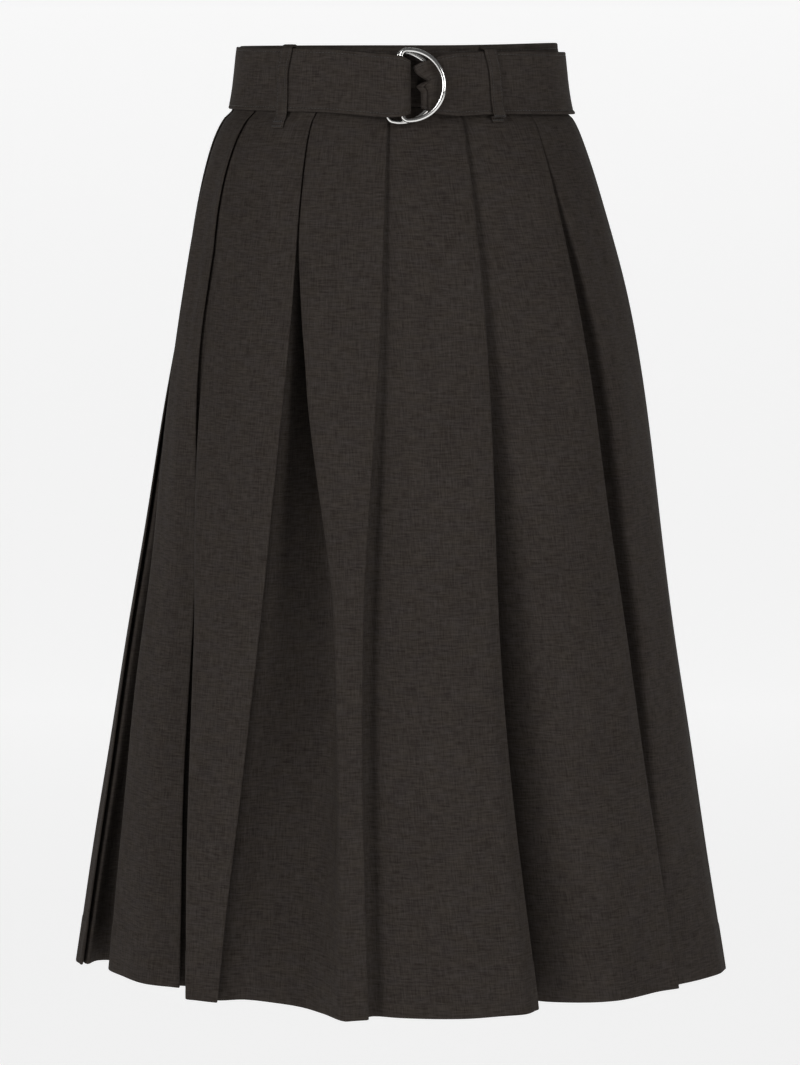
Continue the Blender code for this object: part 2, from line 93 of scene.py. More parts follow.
Outline = namedtuple("Outline", "height left right front back")
OUTLINE = [Outline(*row) for row in (
    (0, 126, 124, 90, 88),
    (-50, 133, 130.8, 94.5, 94),
    (-58, 140.4, 138, 96.8, 99.5),
    (-78, 149.8, 146.8, 104.5, 108.5),
    (-120, 160.6, 160.4, 116.5, 121.5),
    (-200, 174.4, 181.4, 131, 140),
    (-280, 188.6, 196.4, 144, 152),
    (-400, 208.3, 211.6, 162, 167),
    (-560, 236.2, 233.9, 186, 188),
    (-740, 264.2, 262.9, 212, 209),
)]

Fold = namedtuple("Fold", "under valley_out ridge_turn ridge_out crest_out edge_turn edge_out")
FOLDS = [Fold(*row) for row in (
    ((0, 0, 0), (-10, -22, -30), (-114, -112, -107), (-1, -3, -6), (0, 0, 0),
     (-91.5, -90.5, -90.5, -90.5), (-1, -3, -6)),
    ((1, 1, 1), (-16, -36, -58), (-80.5, -84, -85.5), (0, -12, -29), (0, -20, -41),
     (-59.2, -61.6, -61.6, -55.6), (0, -30, -52)),
    ((0.7, 1, 1), (-9, -46, -74), (-58.3, -51.6, -44.4), (-4, -12, -25), (0, -9, -26),
     (-29.6, -28.8, -31.5, -37.2), (0, -8, -27)),
    ((1, 1, 0.55), (-40, -48, -54), (-24.4, -13.2, -8.9), (0, 3, 7), (0.5, 1.5, 2),
     (-3.9, -4.8, -7.5, -5.3), (0.3, 0.6, 0)),
    ((0, 0, 0), (-6, -14, -14), (11, 12, 12), (-1, -1, -1), (1, 0, -6),
     (20.5, 21, 20.9, 26.2), (0, -3, -20.5)),
    ((0, 0, 0), (-7, -38, -66), (35, 39, 44), (-1, -3, -18.5), (1, -1, -19),
     (49.2, 49.9, 55.2, 62.2), (0, -4, -14)),
    ((0.9, 1, 0), (-19, -26, -24), (57, 61.5, 66), (-1, -4, -22), (0, 0, -3),
     (84.5, 84.5, 85.5, 86), (0, 0, 0)),
    ((0, 0, 0), (-9, -20, -30), (94, 100, 106), (-1, -4, -10), (1, 1, -2),
     (118.5, 118.5, 119.5, 121), (0, -4, -12)),
    ((0.4, 0.8, 0.5), (-10, -24, -36), (126, 132, 136), (0, 0, 2), (1, 2, 4),
     (148.5, 150, 150, 151), (0, -3, -6)),
    ((0, 0, 0), (-9, -16, -20), (160, 163, 166), (-1, -2, -4), (1, 2, 2),
     (176, 179, 179, 177), (0, -3, -14)),
    ((0.5, 1, 1), (-11, -28, -42), (186, 190, 192), (0, 1, 3), (1, 2, 3),
     (204, 208, 207, 207), (0, -2, -4)),
    ((0, 0, 0), (-9, -18, -24), (216, 221, 225), (-1, -4, -12), (1, 0, -8),
     (234, 236, 236, 238), (0, -4, -16)),
)]
LEFT_SEAM_FOLD = 0
RIGHT_SEAM_FOLD = 6

Station = namedtuple("Station", "arc out trim_top trim_bottom", defaults=(0.0, 0.0))
BELT_HOLD = [Station(*row) for row in (
    (-46, 2.3), (-24, 2.3), (-6, 2.3),
    (1.2, 2.4, 1.2, 0.8), (5.2, 3.9, 3.8, 2.2), (6.9, 7.4, 4.8, 2.8),
    (5.8, 11.8, 4, 2.4), (1.6, 13.8, 1.6, 1), (-4.5, 12.9, 0.6, 0.4),
    (-9.5, 11.2), (-15, 9), (-23, 6.4),
    (-34, 5.4), (-47, 5.3), (-57, 3.6),
    (-68, 2.4),
)]
BELT_PASS = [Station(*row) for row in (
    (52, 2.3), (36, 2.3, 0.8, 0.6), (23, 2.3, 4, 3),
    (15, 2.4, 7.4, 5.6), (12.2, 3.4, 8.6, 6.6), (11, 6.2, 8.8, 6.8),
    (12, 9.2, 8.6, 6.4), (16.5, 10.4, 6.2, 4.6), (24, 10.9, 3.9, 3.7),
    (30, 11.1, 2, 2), (36, 10.9, 0.8, 0.8), (43, 9.4),
    (52, 6.8), (61, 5.4),
)]
BELT_STEP = 10.0
BELT_WRAP_ARC = 25.0  # BELT_DROP is read half a girth to either side of it
BELT_OUT = 2.3
TAIL_OUT = 5.3
TAIL_END_ARC = 228.0
BELT_DROP = ((-330, -29), (-240, -28.6), (-178, -25), (-60, -26), (0, -29.7),
             (76, -27.7), (172, -29), (228, -29.4), (380, -29))

Loop = namedtuple("Loop", "name turn lean bend end over")
LOOPS = (
    Loop("belt_loop_front_left", -44.9, -2.6, 2.4, -63, BELT_OUT),
    Loop("belt_loop_front_right", 34, 0.4, -1.9, -58.2, TAIL_OUT),
    Loop("belt_loop_back_right", 132, 0, 0, -62.5, BELT_OUT),
    Loop("belt_loop_back_centre", 166, 0, 0, -62.5, BELT_OUT),
    Loop("belt_loop_back_left", 222, 0, 0, -62.5, BELT_OUT),
)
LOOP_WIDTH = 9.8
LOOP_BEND_REACH = 14.0
BAND_SHOWN = -3.0  # the waistband shows above a belt that lies lower than this

Ring = namedtuple("Ring", "name bar_x middle_height bar_out bow_out lean")
RINGS = (
    Ring("d_ring_front", 1.5, -29.5, 9.8, 13.8, -2),
    Ring("d_ring_rear", -5.2, -29.8, 5.9, 4.8, 9.6),
)

# -------- finer sizes of the cloth

SUITING = 0.75  # one layer of suiting, as it shows
HEM_ALLOWANCE = 38.0  # depth of the turned hem
HEM_CLOTH = 1.5  # the two layers of the hem
HEM_LAYER_END = (36.6, 38.8)  # rises from the hem between which its second layer ends
BELT_SHOWN = 2.3  # the belt's thickness, as it shows
ROUNDING = 1.1  # reach of the rounded edges of the belt and the waistband
EDGE_STITCH = 2.8  # from the belt's edge to its edge stitching
RIM_STITCH = 4.0  # from the waistband's top edge to its stitching
LOOP_STITCH = 0.66  # place of a loop's stitching, as a share of its half width
RIM_GROOVE, BELT_GROOVE, LOOP_GROOVE = 0.22, 0.2, 0.10  # how deep each stitching draws in
STITCH = 2.7  # one stitch and its gap
THREAD = 0.30
STITCH_LOOK_AHEAD = 0.2  # how far ahead a stitch's direction is read
RIM_LIFT = 2.5  # how much higher the waistband stands at the right side
CLOTH_SHIFT = 173.0  # each pleat shows its own stretch of the cloth
LOOP_CLOTH_SHIFT = 31.0  # and each loop, for each degree of turn
SLANT = 1.02  # length down the cloth for each millimetre of height
CLOTH_MAP = "Cloth"

# One stitch: share of its length, share of the thread's thickness, and rise in threads.
STITCH_PROFILE = ((0, 0.35, -0.30), (0.12, 0.85, 0), (0.35, 1, 0.10), (0.65, 1, 0.10),
                  (0.88, 0.85, 0), (1, 0.35, -0.30))

# How the strap is squeezed where it turns in the rings: how far, where along the waist and over
# what run, and where down across the strap in shares of its width.
Squeeze = namedtuple("Squeeze", "size arc run shares")
PINCH = Squeeze(10.5, 11, 9, (0.38, 0.16, 0.075))
PUSH = Squeeze(5.5, 11.0, 9.0, (0.46, 0.60))
FURROW = Squeeze(3.2, 16.5, 1.3, (0.42, 0.52))
DIMPLE = Squeeze(1.6, 15.8, 1.6, (0.70, 0.06))
SQUEEZE_END_ARC = 45.0
SQUEEZE_OUTER = 7.0  # the furrow and the dimple are further out than this

# Soft creases of the worn skirt: a trough has a negative depth and a ridge a positive one.
# Turn and height of both ends, width across, depth, and the share of its length to where it
# is deepest.
Crease = namedtuple("Crease", "turn_top top turn_low low width depth deepest")
CREASES = [Crease(*row) for row in (
    (-70, -95, -68, -330, 9, -1.6, 0.45),
    (-47, -60, -42, -260, 11, -1.2, 0.3),
    (-40, -230, -47, -520, 16, 1.3, 0.5),
    (-18, -150, -22, -420, 14, -1.4, 0.6),
    (-14, -62, -12, -210, 9, 0.9, 0.3),
    (6, -64, 9, -330, 12, -0.9, 0.35),
    (13, -260, 10, -610, 18, 1.2, 0.5),
    (27, -60, 33, -240, 9, -1, 0.3),
    (42, -180, 46, -560, 17, 1.4, 0.6),
    (64, -70, 71, -300, 12, -1.3, 0.4),
    (-102, -90, -104, -360, 13, -1.4, 0.4),
    (102, -80, 106, -340, 13, -1.2, 0.4),
    (112, -300, 110, -600, 18, 1.2, 0.5),
    (136, -64, 141, -250, 10, -1.1, 0.3),
    (140, -330, 143, -650, 16, -1.3, 0.6),
    (166, -70, 169, -380, 13, -1.2, 0.4),
    (196, -62, 199, -270, 10, 0.9, 0.3),
    (200, -240, 197, -560, 17, -1.5, 0.5),
    (224, -80, 228, -310, 12, -1.2, 0.4),
    (230, -360, 226, -690, 18, 1.3, 0.5),
)]

# The cloth's own unevenness: waves round the skirt that drift aside with the height.
Wave = namedtuple("Wave", "size count drift phase")
WAVES = (Wave(0.55, 11, 61, 0.7), Wave(0.40, 19, -83, 2.1), Wave(0.28, 7, 29, 4))
WAVES_START, WAVES_FULL = -60.0, -260.0
WAIST_RADIUS, FLARE = 150.0, 0.12  # mean radius, and its growth for each millimetre down

# -------- smooth curves and the outline


def smooth_value(stations, values, at):
    """Read a smooth curve through the values, without overshoot between them."""
    if at <= stations[0]:
        return values[0]
    if at >= stations[-1]:
        return values[-1]
    slopes = [(values[i + 1] - values[i]) / (stations[i + 1] - stations[i]) for i in range(len(values) - 1)]
    leans = [slopes[0]]
    for before, after in zip(slopes, slopes[1:]):
        leans.append(0.0 if before * after <= 0 else 2 * before * after / (before + after))
    leans.append(slopes[-1])
    i = max(k for k in range(len(stations) - 1) if stations[k] <= at)
    span = stations[i + 1] - stations[i]
    t = (at - stations[i]) / span
    return ((1 + 2 * t) * (1 - t) ** 2 * values[i] + t * (1 - t) ** 2 * span * leans[i]
            + t * t * (3 - 2 * t) * values[i + 1] - t * t * (1 - t) * span * leans[i + 1])


OUTLINE_DEPTHS = [-row.height for row in OUTLINE]


@lru_cache(maxsize=None)
def outline_size(column, height):
    return smooth_value(OUTLINE_DEPTHS, [getattr(row, column) for row in OUTLINE], -height)


def plan_point(turn, out, height):
    """Plan position of a place on the garment, in millimetres."""
    angle = math.radians(turn)
    across, along = math.sin(angle), -math.cos(angle)
    half_width = outline_size("right" if across > 0 else "left", height)
    half_depth = outline_size("back" if along > 0 else "front", height)
    return Vector((across * (half_width + out), along * (half_depth + out)))


def waist_arcs():
    """Distance along the waist seam at each whole degree of turn, from the front centre."""
    arcs = [0.0]
    for degree in range(360):
        step = plan_point(degree + 1, 0.0, SKIRT_TOP) - plan_point(degree, 0.0, SKIRT_TOP)
        arcs.append(arcs[-1] + step.length)
    return arcs


WAIST_ARCS = waist_arcs()
WAIST_GIRTH = WAIST_ARCS[-1]


def turn_at_arc(arc):
    """Turn in degrees of a distance along the waist, which may be negative."""
    rounds, rest = divmod(arc, WAIST_GIRTH)
    return 360.0 * rounds + float(np.interp(rest, WAIST_ARCS, np.arange(361.0)))


def degrees_for(length, turn, height):
    """Degrees of turn that a length along the outline takes there."""
    step = plan_point(turn + 1, 0.0, height) - plan_point(turn - 1, 0.0, height)
    return 2.0 * length / step.length


def ease(low, high, at):
    """A smooth step from 0 at low to 1 at high."""
    t = np.clip((at - low) / (high - low), 0.0, 1.0)
    return t * t * (3.0 - 2.0 * t)


def hump(at, centre, width):
    """A soft hump of height 1 round its centre."""
    return np.exp(-(((at - centre) / width) ** 2))


# -------- the pleats

FOLD_LEVELS = [-SKIRT_TOP, -HIP, -KNEE, -HEM]

FACE_SHARES = (0.36, 0.72)  # two places between a pleat's ridge and its fold edge
# Three places on the way across a valley, and how much further where the pleat stands over it.
# There the first one sinks, and the other two rise by that much less.
VALLEY_SHARES = ((0.04, 0.12), (0.30, 0.45), (0.68, 0.27))
VALLEY_SINK = 0.55
VALLEY_RISES = ((0.45, 0.45), (0.85, 0.45))


def at_level(values, height):
    return smooth_value(FOLD_LEVELS, values, -height)


def pocket_lift(row, height):
    """How far the pocket mouth stands open, along the one fold that has it."""
    if row != POCKET_FOLD or not POCKET_END < height < POCKET_TOP:
        return 0.0
    share = (height - POCKET_TOP) / (POCKET_END - POCKET_TOP)
    return POCKET_LIFT * math.sin(math.pi * share)


def fold_edge(index, height):
    """Turn and out of a pleat's fold edge. Rows past either end go on round the body."""
    rounds, row = divmod(index, len(FOLDS))
    fold = FOLDS[row]
    turn = at_level(fold.edge_turn, height)
    out = at_level([0.0, *fold.edge_out], height) + pocket_lift(row, height)
    return turn + 360.0 * rounds, out


def opened(row, height):
    """How far a pleat has parted from the fold before it: some are shut against it at the top."""
    for opening in OPENINGS:
        if row == opening.fold:
            return ease(opening.start, opening.end, height)
    return 1.0


def pleat_ridge(index, height):
    """Turn and out of the place where a pleat has come up to its face."""
    rounds, row = divmod(index, len(FOLDS))
    fold = FOLDS[row]
    seam_start = fold_edge(row - 1, SKIRT_TOP)[0]
    seam_ridge = seam_start + degrees_for(SEAM_RIDGE_RUN, seam_start, SKIRT_TOP)
    turn = at_level([seam_ridge, *fold.ridge_turn], height)
    out = at_level([SEAM_RIDGE_OUT, *fold.ridge_out], height)
    before_turn = fold_edge(row - 1, height)[0]
    shut = before_turn + degrees_for(SHUT_STEP, before_turn, height)
    return shut + (turn - shut) * opened(row, height) + 360.0 * rounds, out


def pleat_face(index, height):
    """Plan path of a pleat's visible face, from its ridge past its crest to its fold edge."""
    edge_turn, edge_out = fold_edge(index, height)
    ridge_turn, ridge_out = pleat_ridge(index, height)
    crest_out = at_level([0.0, *FOLDS[index % len(FOLDS)].crest_out], height)
    run = edge_turn - ridge_turn
    return [plan_point(ridge_turn, ridge_out, height),
            plan_point(ridge_turn + FACE_SHARES[0] * run, 0.5 * (ridge_out + crest_out), height),
            plan_point(ridge_turn + FACE_SHARES[1] * run, crest_out, height),
            plan_point(edge_turn, edge_out, height)]


def back_along(path, length):
    """The place a length back from a path's end, and the path's direction there."""
    for start, end in zip(path[-2::-1], path[:0:-1]):
        step = end - start
        if length <= step.length:
            return end - step.normalized() * length, step.normalized()
        length -= step.length
    return path[0], (path[1] - path[0]).normalized()


def low_layer(index, height):
    """How deep the next pleat's cloth lies below a fold edge."""
    return at_level(LOW_LAYER_LEFT if index % len(FOLDS) == LEFT_SEAM_FOLD else LOW_LAYER, height)


def pleat_tuck(index, height):
    """The cloth hidden behind a fold edge: its bend, the bend back, and where it goes on."""
    face = pleat_face(index, height)
    low = low_layer(index, height)
    edge, along = back_along(face, FOLD_TIP)
    inward = Vector((-along.y, along.x))
    near_edge = back_along(face, NEAR_EDGE)[0]
    outer_bend = [near_edge, edge, edge + along * FOLD_TIP + inward * 0.5 * TIP_GAP,
                  edge + inward * TIP_GAP]
    under = edge + inward * low
    fold_line = back_along(face, at_level(UNDERLAP, height))[0]
    along = (edge - fold_line).normalized()
    inward = Vector((-along.y, along.x))
    inner_bend = [fold_line + along * FOLD_TIP + inward * BACK_SHARE[0] * low,
                  fold_line + inward * 0.5 * low,
                  fold_line + along * FOLD_TIP + inward * BACK_SHARE[1] * low]
    return outer_bend, inner_bend, under


def pleat_valley(index, height):
    """Between the fold before and the ridge: down across the valley and up again. The valley is
    deepest beside the fold before it, or, where the pleat stands over it, below its own ridge."""
    before_turn, before_out = fold_edge(index - 1, height)
    ridge_turn, ridge_out = pleat_ridge(index, height)
    fold = FOLDS[index % len(FOLDS)]
    lowest = before_out - low_layer(index - 1, height)
    valley = min(at_level([SEAM_VALLEY, *fold.valley_out], height), lowest)
    valley = lowest + (valley - lowest) * opened(index % len(FOLDS), height) ** 0.5
    under = at_level([0.0, *fold.under], height)
    rise = ridge_out - valley
    turns = [before_turn + (share + further * under) * (ridge_turn - before_turn)
             for share, further in VALLEY_SHARES]
    outs = [valley + under * VALLEY_SINK * (lowest - valley),
            *(valley + (share - less * under) * rise for share, less in VALLEY_RISES)]
    hollow = 0.0
    if (index - 1) % len(FOLDS) == LEFT_SEAM_FOLD:
        hollow = at_level(LEFT_HOLLOW_SHARE, height)
    return [plan_point(turn + hollow * (before_turn + back - turn),
                       out + hollow * (before_out + deep - out), height)
            for turn, out, (back, deep) in zip(turns, outs, LEFT_HOLLOW)]


# How many fine steps each stretch of a pleat's section is drawn with, in the path's order.
TUCK_STEPS = (2, 2, 3)  # inner bend, then back out to below the fold
VALLEY_STEPS = (4, 4, 4)
FACE_STEPS = (5, 7, 7, 8)
EDGE_STEPS = (3, 2, 2)
HIDDEN_STEPS = (3,)


def panel_plan(first, last, height):
    """Plan path of one panel between its side seams, with the fine steps after each point,
    the columns where the cloth's own measure starts again, and the middle of each face."""
    path, steps, cuts, middles = [], [], [], []
    for index in range(first, last + 1):
        outer_bend, inner_bend, under = pleat_tuck(index, height)
        if index > first:
            middles.append(sum(steps) + sum(VALLEY_STEPS) + FACE_STEPS[0] + FACE_STEPS[1])
            path += pleat_valley(index, height) + pleat_face(index, height)[:-1] + outer_bend
            steps += [*VALLEY_STEPS[1:], *FACE_STEPS, *EDGE_STEPS]
        hidden = inner_bend[0] - outer_bend[-1]
        seam = outer_bend[-1] + hidden * 0.5
        if index in (first, last):
            side = 0.5 if index == first else -0.5
            path.append(seam + hidden.normalized() * side * SEAM_GAP)
            steps.append(2)
        if index < last:
            if index > first:
                steps += HIDDEN_STEPS
                cuts.append(sum(steps) + TUCK_STEPS[0])
            path += [*inner_bend, under]
            steps += [*TUCK_STEPS, VALLEY_STEPS[0]]
    return path, steps, cuts, middles


def refine(grid, steps):
    """Draw smooth curves through rows of points, with that many steps after each point."""
    before = np.concatenate([2 * grid[:, :1] - grid[:, 1:2], grid[:, :-1]], axis=1)
    gaps = np.sqrt(np.linalg.norm(grid - before, axis=2, keepdims=True)) + 1e-9
    pieces = []
    count = grid.shape[1]
    for i, fine in zip(range(count - 1), steps):
        p1, p2 = grid[:, i], grid[:, i + 1]
        p0 = before[:, i]
        p3 = grid[:, i + 2] if i + 2 < count else 2 * p2 - p1
        d1, d2 = gaps[:, i], gaps[:, i + 1]
        d3 = gaps[:, i + 2] if i + 2 < count else d2
        m1 = (p2 - p1) + d2 * ((p1 - p0) / d1 - (p2 - p0) / (d1 + d2))
        m2 = (p2 - p1) + d2 * ((p3 - p2) / d3 - (p3 - p1) / (d2 + d3))
        for t in np.arange(fine) / fine:
            pieces.append((1 + 2 * t) * (1 - t) ** 2 * p1 + t * (1 - t) ** 2 * m1
                          + t * t * (3 - 2 * t) * p2 - t * t * (1 - t) * m2)
    pieces.append(grid[:, -1])
    return np.stack(pieces, axis=1)


def unit(vectors):
    return vectors / (np.linalg.norm(vectors, axis=-1, keepdims=True) + 1e-12)


def tangents(grid, axis, closed=False):
    """Direction of a grid of points along its rows or columns."""
    grid = np.moveaxis(grid, axis, 0)
    steps = unit(np.roll(grid, -1, axis=0) - grid)
    if not closed:
        steps[-1] = steps[-2]
    earlier = np.roll(steps, 1, axis=0)
    if not closed:
        earlier[0] = steps[0]
    return np.moveaxis(unit(steps + earlier), 0, axis)


def surface_normals(grid, closed=False):
    """Outward directions of a grid whose rows go down and whose columns go round."""
    return unit(np.cross(tangents(grid, 0), tangents(grid, 1, closed)))


def arc_lengths(grid):
    """Distance along each row of a grid from its first column."""
    steps = np.linalg.norm(np.diff(grid, axis=1), axis=2)
    return np.concatenate([np.zeros((grid.shape[0], 1)), np.cumsum(steps, axis=1)], axis=1)


def line_lengths(line):
    """Distance along a line of places from its start."""
    return arc_lengths(line[None])[0]


def crease_out(turns, heights):
    """How far the soft creases and the cloth's own unevenness move each place outward."""
    out = np.zeros_like(turns)
    for crease in CREASES:
        share = (heights - crease.top) / (crease.low - crease.top)
        centre = crease.turn_top + (crease.turn_low - crease.turn_top) * share
        away = (turns - centre + 180.0) % 360.0 - 180.0
        across = np.radians(away) * (WAIST_RADIUS - FLARE * heights)
        fade = ease(0.0, crease.deepest, share) * (1.0 - ease(crease.deepest, 1.0, share))
        out += crease.depth * fade * hump(across, 0.0, crease.width)
    around = np.radians(turns)
    share = ease(WAVES_START, WAVES_FULL, heights)
    for wave in WAVES:
        out += share * wave.size * np.sin(wave.count * around + heights / wave.drift + wave.phase)
    return out


def uneven(grid):
    """Move a grid of places on the skirt outward by its soft creases."""
    heights = grid[..., 2]
    rows = [float(h) for h in heights[:, 0]]
    left, right, front, back = (np.array([outline_size(c, h) for h in rows])[:, None]
                                for c in ("left", "right", "front", "back"))
    wide = np.where(grid[..., 0] > 0, right, left)
    deep = np.where(grid[..., 1] > 0, back, front)
    turns = np.degrees(np.arctan2(grid[..., 0] / wide, -grid[..., 1] / deep))
    outward = unit(np.stack([grid[..., 0] / wide ** 2, grid[..., 1] / deep ** 2], axis=-1))
    moved = grid.copy()
    moved[..., :2] += outward * crease_out(turns, heights)[..., None]
    return moved


# -------- meshes


def link_new(name, data):
    obj = bpy.data.objects.new(name, data)
    bpy.context.collection.objects.link(obj)
    return obj


def add_mesh(name, points, faces, material, uvs=None):
    """Make one smooth mesh object from points in millimetres. UVs are one pair for each corner."""
    mesh = bpy.data.meshes.new(name)
    mesh.from_pydata((np.asarray(points) * MM).tolist(), [], faces)
    mesh.shade_smooth()
    mesh.materials.append(material)
    if uvs is not None:
        layer = mesh.uv_layers.new(name=CLOTH_MAP)
        layer.data.foreach_set("uv", (uvs * MM).ravel())
    mesh.update()
    return link_new(name, mesh)


def rounded(from_edge, reach, least):
    """Share of a cloth's full thickness near its rounded edge."""
    inside = 1.0 - np.clip(from_edge / reach, 0.0, 1.0)
    return np.sqrt(np.clip(1.0 - inside ** 2, least, 1.0))


def shell(name, middle, half, material, across_left, across_right, down, closed=False):
    """Close a cloth wall round a grid of places, half the cloth's thickness to either side.
    across_left and across_right are the cloth's measure at a column, for the faces that start
    there and for the faces that end there."""
    rows, columns = middle.shape[:2]
    half, across_left, across_right, down = (
        np.broadcast_to(values, (rows, columns)) for values in (half, across_left, across_right, down))
    normals = surface_normals(middle, closed)
    thick = half[..., None]
    points = np.concatenate([(middle + normals * thick).reshape(-1, 3),
                             (middle - normals * thick).reshape(-1, 3)])
    faces, uvs = [], []

    def add(*corners):
        """Add faces by their four corners: row, side, column and whether the face ends there."""
        faces.append(np.array([(side * rows + row) * columns + column
                               for row, side, column, _ in corners]).T)
        uvs.append(np.array([((across_right if ends else across_left)[row, column], down[row, column])
                             for row, _, column, ends in corners]).transpose(2, 0, 1))

    around = np.arange(columns if closed else columns - 1)
    r, c = (grid.ravel() for grid in np.meshgrid(np.arange(rows - 1), around, indexing="ij"))
    here, ahead = (c, False), ((c + 1) % columns, True)
    add((r + 1, 0, *here), (r + 1, 0, *ahead), (r, 0, *ahead), (r, 0, *here))
    add((r, 1, *here), (r, 1, *ahead), (r + 1, 1, *ahead), (r + 1, 1, *here))
    here, ahead = (around, False), ((around + 1) % columns, True)
    top, low = np.zeros_like(around), np.full_like(around, rows - 1)
    add((top, 0, *here), (top, 0, *ahead), (top, 1, *ahead), (top, 1, *here))
    add((low, 0, *here), (low, 1, *here), (low, 1, *ahead), (low, 0, *ahead))
    if not closed:
        r = np.arange(rows - 1)
        start, end = (np.zeros_like(r), False), (np.full_like(r, columns - 1), True)
        add((r, 0, *start), (r, 1, *start), (r + 1, 1, *start), (r + 1, 0, *start))
        add((r, 0, *end), (r + 1, 0, *end), (r + 1, 1, *end), (r, 1, *end))
    return add_mesh(name, points, np.concatenate(faces).tolist(), material,
                    np.concatenate(uvs).reshape(-1, 2))


def tube_faces(rings, sides, first=0, closed=False):
    """Faces of a tube whose points come ring by ring."""
    faces = []
    for ring in range(rings if closed else rings - 1):
        low, high = first + ring * sides, first + (ring + 1) % rings * sides
        for s in range(sides):
            t = (s + 1) % sides
            faces.append((low + s, low + t, high + t, high + s))
    return faces


def read_along(reach, values, at):
    """A place or direction at a distance along a line."""
    return np.array([np.interp(at, reach, values[:, axis]) for axis in range(3)])


def stitch_line(line, outward, pitch=STITCH, share=0.72, lift=0.12, sides=6):
    """Points and faces of a row of stitches along a line, each dipping into the cloth."""
    outward = unit(outward)
    reach = line_lengths(line)
    points, faces = [], []
    for k in range(int(reach[-1] // pitch)):
        start = (k + 0.5 * (1.0 - share)) * pitch
        base = len(points)
        for along, size, rise in STITCH_PROFILE:
            at = start + along * share * pitch
            place = read_along(reach, line, at)
            ahead = read_along(reach, line, at + STITCH_LOOK_AHEAD)
            up = unit(read_along(reach, outward, at))
            side = unit(np.cross(unit(ahead - place), up))
            for s in range(sides):
                angle = 2 * math.pi * s / sides
                points.append(place + up * (lift + rise * THREAD)
                              + 0.5 * THREAD * size * (math.cos(angle) * side + math.sin(angle) * up))
        faces += tube_faces(len(STITCH_PROFILE), sides, base)
        faces.append(tuple(range(base, base + sides))[::-1])
        faces.append(tuple(range(len(points) - sides, len(points))))
    return points, faces


def stitches_on(middle, normals, half, pick, side=1.0, shift=0.0, **shape):
    """A row of stitches on one side of a cloth, along the places that pick names in its grid."""
    outward = normals[pick] * side
    line = middle[pick] + outward * half[pick][:, None] + np.array([0.0, 0.0, shift])
    return stitch_line(line, outward, **shape)


def add_stitches(name, runs, material):
    """One object from several rows of stitches."""
    points, faces = [], []
    for run_points, run_faces in runs:
        base = len(points)
        points += run_points
        faces += [tuple(i + base for i in face) for face in run_faces]
    return add_mesh(name, points, faces, material)


# -------- materials

SUITING_DARK = (0.0195, 0.0152, 0.0128)
SUITING_LIGHT = (0.0510, 0.0436, 0.0380)
YARN_PITCH = 0.42  # width of two neighbouring threads
# Noises drawn out along the threads: cycles for each millimetre across and down, and detail.
YARNS = ((0.08, 0.66, 3), (0.88, 0.06, 3), (0.12, 1.6, 2), (1.9, 0.13, 2), (0.018, 0.014, 2), (0.05, 0.11, 3))


class Look:
    """A material with short ways to add nodes. An input takes a value or another node's output."""

    def __init__(self, name):
        self.material = bpy.data.materials.new(name)
        self.material.use_nodes = True
        self.tree = self.material.node_tree

    def fill(self, node, inputs):
        for key, value in inputs.items():
            if isinstance(value, bpy.types.NodeSocket):
                self.tree.links.new(value, node.inputs[key])
            else:
                node.inputs[key].default_value = value

    def node(self, kind, inputs):
        node = self.tree.nodes.new(kind)
        self.fill(node, inputs)
        return node

    def shader(self, inputs):
        self.fill(self.tree.nodes["Principled BSDF"], inputs)

    def math(self, operation, *values):
        node = self.tree.nodes.new("ShaderNodeMath")
        node.operation = operation
        self.fill(node, dict(enumerate(values)))
        return node.outputs[0]

    def weighted(self, *parts):
        """Sum of the parts, each of them an output and its weight."""
        total = 0.0
        for output, weight in parts:
            total = self.math("MULTIPLY_ADD", output, weight, total)
        return total

    def noise(self, place, scale, detail=2.0, roughness=0.5, shift=(0.0, 0.0, 0.0)):
        """Noise in cycles for each metre along the three axes of the place."""
        mapping = self.node("ShaderNodeMapping", {"Vector": place, "Scale": scale, "Location": shift})
        inputs = {"Vector": mapping.outputs["Vector"], "Scale": 1.0, "Detail": detail, "Roughness": roughness}
        return self.node("ShaderNodeTexNoise", inputs).outputs["Fac"]

    def drawn_out(self, measure, across, down, detail, seed):
        """Noise drawn out along the threads, in cycles for each millimetre across and down."""
        return self.noise(measure, (across / MM, down / MM, 1.0), detail, 0.6, (seed * 3.7, seed * 1.9, seed))

    def object_noise(self, cycles, detail=2.0):
        place = self.node("ShaderNodeTexCoord", {}).outputs["Object"]
        return self.noise(place, (cycles, cycles, cycles), detail)

    def ramp(self, at, low, high):
        """Colour between two stops, each of them a position and a colour."""
        node = self.node("ShaderNodeValToRGB", {"Fac": at})
        for index, (position, colour) in enumerate((low, high)):
            node.color_ramp.elements[index].position = position
            node.color_ramp.elements[index].color = (*colour, 1.0)
        return node.outputs["Color"]

    def tinted(self, colour, tint):
        node = self.tree.nodes.new("ShaderNodeMix")
        node.data_type = "RGBA"
        node.blend_type = "MULTIPLY"
        self.fill(node, {"Factor": 1.0, "A": colour, "B": tint})
        return node.outputs["Result"]

    def bump(self, height, strength, distance):
        inputs = {"Height": height, "Strength": strength, "Distance": distance}
        return self.node("ShaderNodeBump", inputs).outputs["Normal"]


